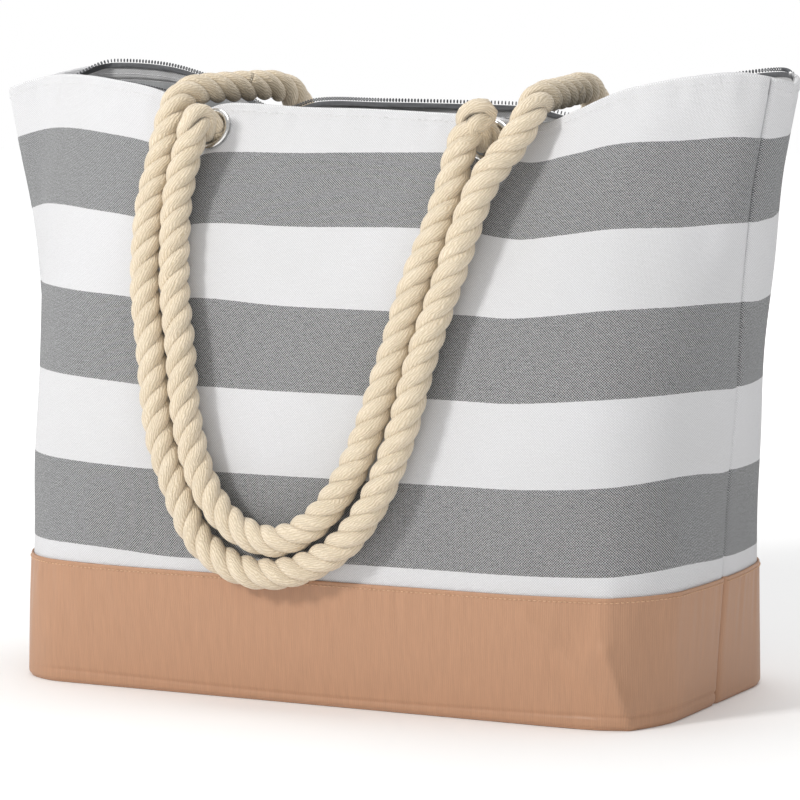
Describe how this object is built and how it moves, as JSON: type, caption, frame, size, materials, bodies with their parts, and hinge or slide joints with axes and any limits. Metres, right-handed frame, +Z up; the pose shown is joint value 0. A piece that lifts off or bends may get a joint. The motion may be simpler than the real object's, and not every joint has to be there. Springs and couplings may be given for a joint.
{
  "type": "beach bag",
  "caption": "Open-topped striped canvas beach bag with a satin base band and thick twisted rope handles that run through metal eyelets.",
  "frame": {"origin": "on the ground, at the middle of the bag's base", "axes": "+X to the right along the length of the bag, +Y from the front with the hanging handles towards the back, +Z up"},
  "size_m": [0.5315, 0.2167, 0.3623],
  "materials": {
    "canvas": "heavy woven canvas, broad white and grey stripes",
    "satin": "rose-tan satin with fine upright ribs",
    "lining": "plain light grey lining cloth",
    "board": "plain stiffener board",
    "rope": "three-strand twisted cream cotton rope",
    "steel": "satin steel",
    "eyelet": "polished nickel",
    "tape": "dark grey woven zip tape",
    "coil": "dark grey moulded zip coil"
  },
  "bodies": {
    "bag": {"front_canvas_panel": "canvas", "back_canvas_panel": "canvas", "front_base_band": "satin", "back_base_band": "satin", "bottom_panel": "satin", "base_board": "board", "front_lining": "lining", "back_lining": "lining", "lining_floor": "lining", "left_seam_binding": "lining", "right_seam_binding": "lining", "front_zipper_tape": "tape", "back_zipper_tape": "tape", "front_zipper_coil": "coil", "back_zipper_coil": "coil", "front_zipper_stop": "steel", "back_zipper_stop": "steel", "zipper_end_stop": "steel", "front_left_eyelet": "eyelet", "front_right_eyelet": "eyelet", "back_left_eyelet": "eyelet", "back_right_eyelet": "eyelet", "front_left_eyelet_washer": "eyelet", "front_right_eyelet_washer": "eyelet", "back_left_eyelet_washer": "eyelet", "back_right_eyelet_washer": "eyelet", "front_left_rope_end": "rope", "front_right_rope_end": "rope", "back_left_rope_end": "rope", "back_right_rope_end": "rope"},
    "front_handle": {"front_handle_rope": "rope"},
    "back_handle_bridges": {"back_handle_left_bridge": "rope", "back_handle_right_bridge": "rope"},
    "back_handle": {"back_handle_rope": "rope"},
    "zipper_slider": {"zipper_slider": "steel"},
    "zipper_pull": {"zipper_pull": "steel"}
  },
  "joints": [
    {"name": "front_handle_swing", "type": "hinge", "parent": "bag", "child": "front_handle", "pos_m": [0, -0.068, 0.318], "axis": [-1, 0, 0], "range_deg": [0, 175]},
    {"name": "back_handle_bridge_swing", "type": "hinge", "parent": "bag", "child": "back_handle_bridges", "pos_m": [0, 0.046, 0.333], "axis": [-1, 0, 0], "range_deg": [0, 90]},
    {"name": "back_handle_fold", "type": "hinge", "parent": "back_handle_bridges", "child": "back_handle", "pos_m": [0, -0.058, 0.331], "axis": [-1, 0, 0], "range_deg": [0, 90]},
    {"name": "zipper_slide", "type": "slide", "parent": "bag", "child": "zipper_slider", "axis": [0.9772, 0, 0.2124], "range_m": [0, 0.0025]},
    {"name": "zipper_pull_flip", "type": "hinge", "parent": "zipper_slider", "child": "zipper_pull", "pos_m": [-0.23801, 0.012, 0.35019], "axis": [0, 1, 0], "range_deg": [0, 160]}
  ],
  "couplings": [
    {"joint": "back_handle_fold", "follows": "back_handle_bridge_swing", "ratio": 1}
  ]
}
